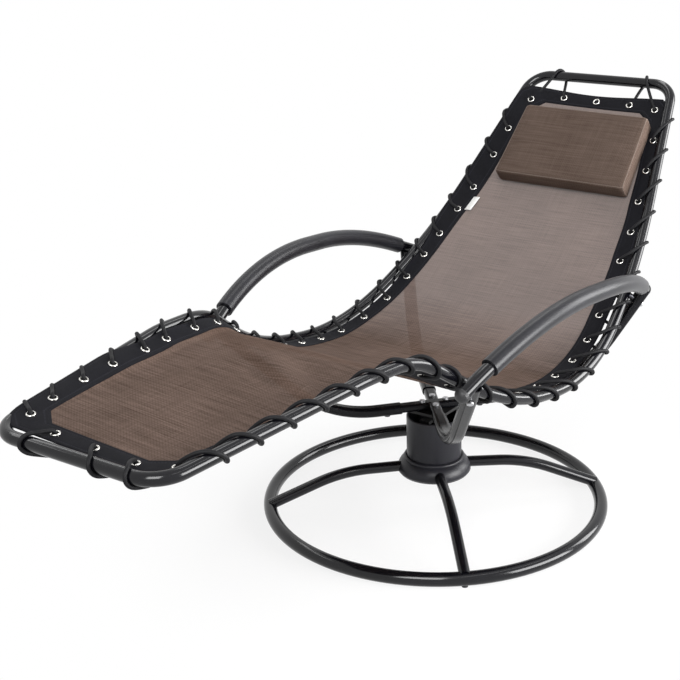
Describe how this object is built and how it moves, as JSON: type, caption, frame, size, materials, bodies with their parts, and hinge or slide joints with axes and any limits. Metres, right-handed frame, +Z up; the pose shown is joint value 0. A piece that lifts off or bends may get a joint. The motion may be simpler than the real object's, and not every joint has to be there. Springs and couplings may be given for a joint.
{
  "type": "rocking lounge chair",
  "caption": "Reclining lounge chair with a laced mesh sling on a bent tube frame, foam-gripped arms and a rocking, swivelling hub on a ring base.",
  "frame": {"origin": "on the floor, in the middle of the whole chair's outline", "axes": "+X along the chair towards the head end, +Y towards the sitter's left, +Z up"},
  "size_m": [1.7243, 0.707, 0.7842],
  "materials": {
    "black_steel": "black powder coat, gloss",
    "satin_steel": "black powder coat, satin",
    "plain_steel": "plain machined steel",
    "dark_bolts": "blackened zinc",
    "zinc_bolts": "bright zinc",
    "black_plastic": "moulded, fine texture",
    "nylon": "natural nylon",
    "black_rubber": "matt rubber",
    "foam": "closed-cell foam sleeve, matt",
    "brown_mesh": "coated mesh weave",
    "black_hem": "folded woven hem",
    "black_cord": "braided elastic cord",
    "brown_pillow": "mesh cover over foam"
  },
  "bodies": {
    "base": {"base_ring": "black_steel", "base_spoke_1": "black_steel", "base_spoke_2": "black_steel", "base_spoke_3": "black_steel", "base_spoke_4": "black_steel", "hub_collar": "satin_steel", "floor_glides": "black_plastic", "king_post": "plain_steel", "thrust_washer": "nylon", "post_washer": "plain_steel", "post_nut": "plain_steel"},
    "swivel": {"hub_cup": "satin_steel", "swivel_bush_lower": "nylon", "swivel_bush_upper": "nylon", "rock_bridge": "satin_steel", "rock_pin": "plain_steel", "rock_stops": "black_rubber"},
    "seat": {"rocker_block": "satin_steel", "rock_bushes": "black_rubber", "cross_fitting": "satin_steel", "cross_bolts": "zinc_bolts", "leg_bolts": "dark_bolts", "leg_front_left": "satin_steel", "leg_front_right": "satin_steel", "leg_rear_left": "satin_steel", "leg_rear_right": "satin_steel", "front_frame": "black_steel", "rear_frame": "black_steel", "rail_spacers": "dark_bolts", "rail_bolts": "dark_bolts", "frame_sleeves": "plain_steel", "arm_left": "black_steel", "arm_right": "black_steel", "grip_left": "foam", "grip_right": "foam", "arm_caps": "black_plastic", "sling_panel": "brown_mesh", "sling_border": "black_hem", "lacing_left": "black_cord", "lacing_right": "black_cord", "lacing_foot": "black_cord", "lacing_head": "black_cord", "head_pillow": "brown_pillow"}
  },
  "joints": [
    {"name": "swivel", "type": "hinge", "parent": "base", "child": "swivel", "pos_m": [0.1205, 0, 0.1], "axis": [0, 0, 1], "continuous": true},
    {"name": "rock", "type": "hinge", "parent": "swivel", "child": "seat", "pos_m": [0.1205, 0, 0.172], "axis": [0, 1, 0], "range_deg": [-10, 10], "stiffness_Nm_per_rad": 300}
  ]
}
